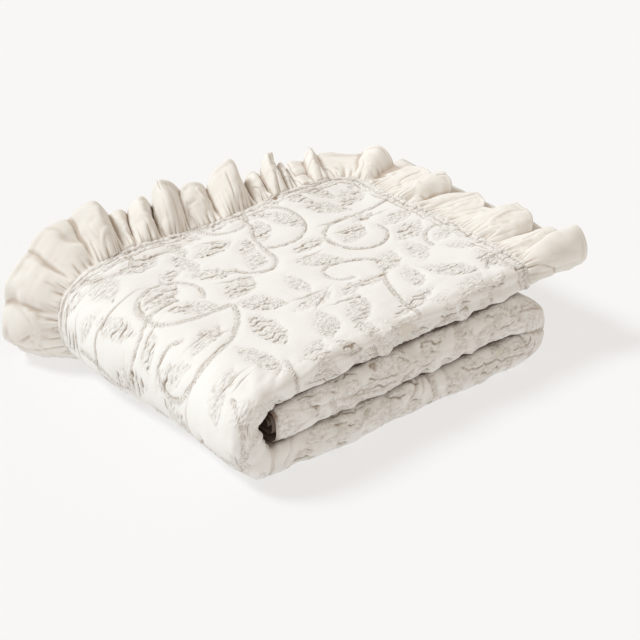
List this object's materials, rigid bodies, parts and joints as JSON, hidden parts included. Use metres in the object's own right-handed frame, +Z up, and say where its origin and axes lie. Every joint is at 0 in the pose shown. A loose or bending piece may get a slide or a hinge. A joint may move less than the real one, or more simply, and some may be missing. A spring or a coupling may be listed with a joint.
{
  "type": "cotton blanket",
  "caption": "Folded cotton throw of raised-pattern woven cloth with a gathered ruffle, lying as a three-band pack on a surface.",
  "frame": {"origin": "middle of the bottom of the whole box, ruffles included, on the surface it rests on", "axes": "+X along the pack from the wide C bend to the right-hand bend, +Y towards the ruffled back edge, +Z up"},
  "size_m": [0.483, 0.356, 0.1481],
  "materials": {
    "woven_panel": "matt ivory double-woven cotton with a raised, puckered vine and leaf relief",
    "plain_ruffle": "matt natural plain-woven cotton, gathered"
  },
  "bodies": {
    "root": {"panel": "woven_panel", "ruffle_top": "plain_ruffle", "ruffle_base": "plain_ruffle", "ruffle_inner": "plain_ruffle", "ruffle_end": "plain_ruffle"}
  },
  "joints": []
}
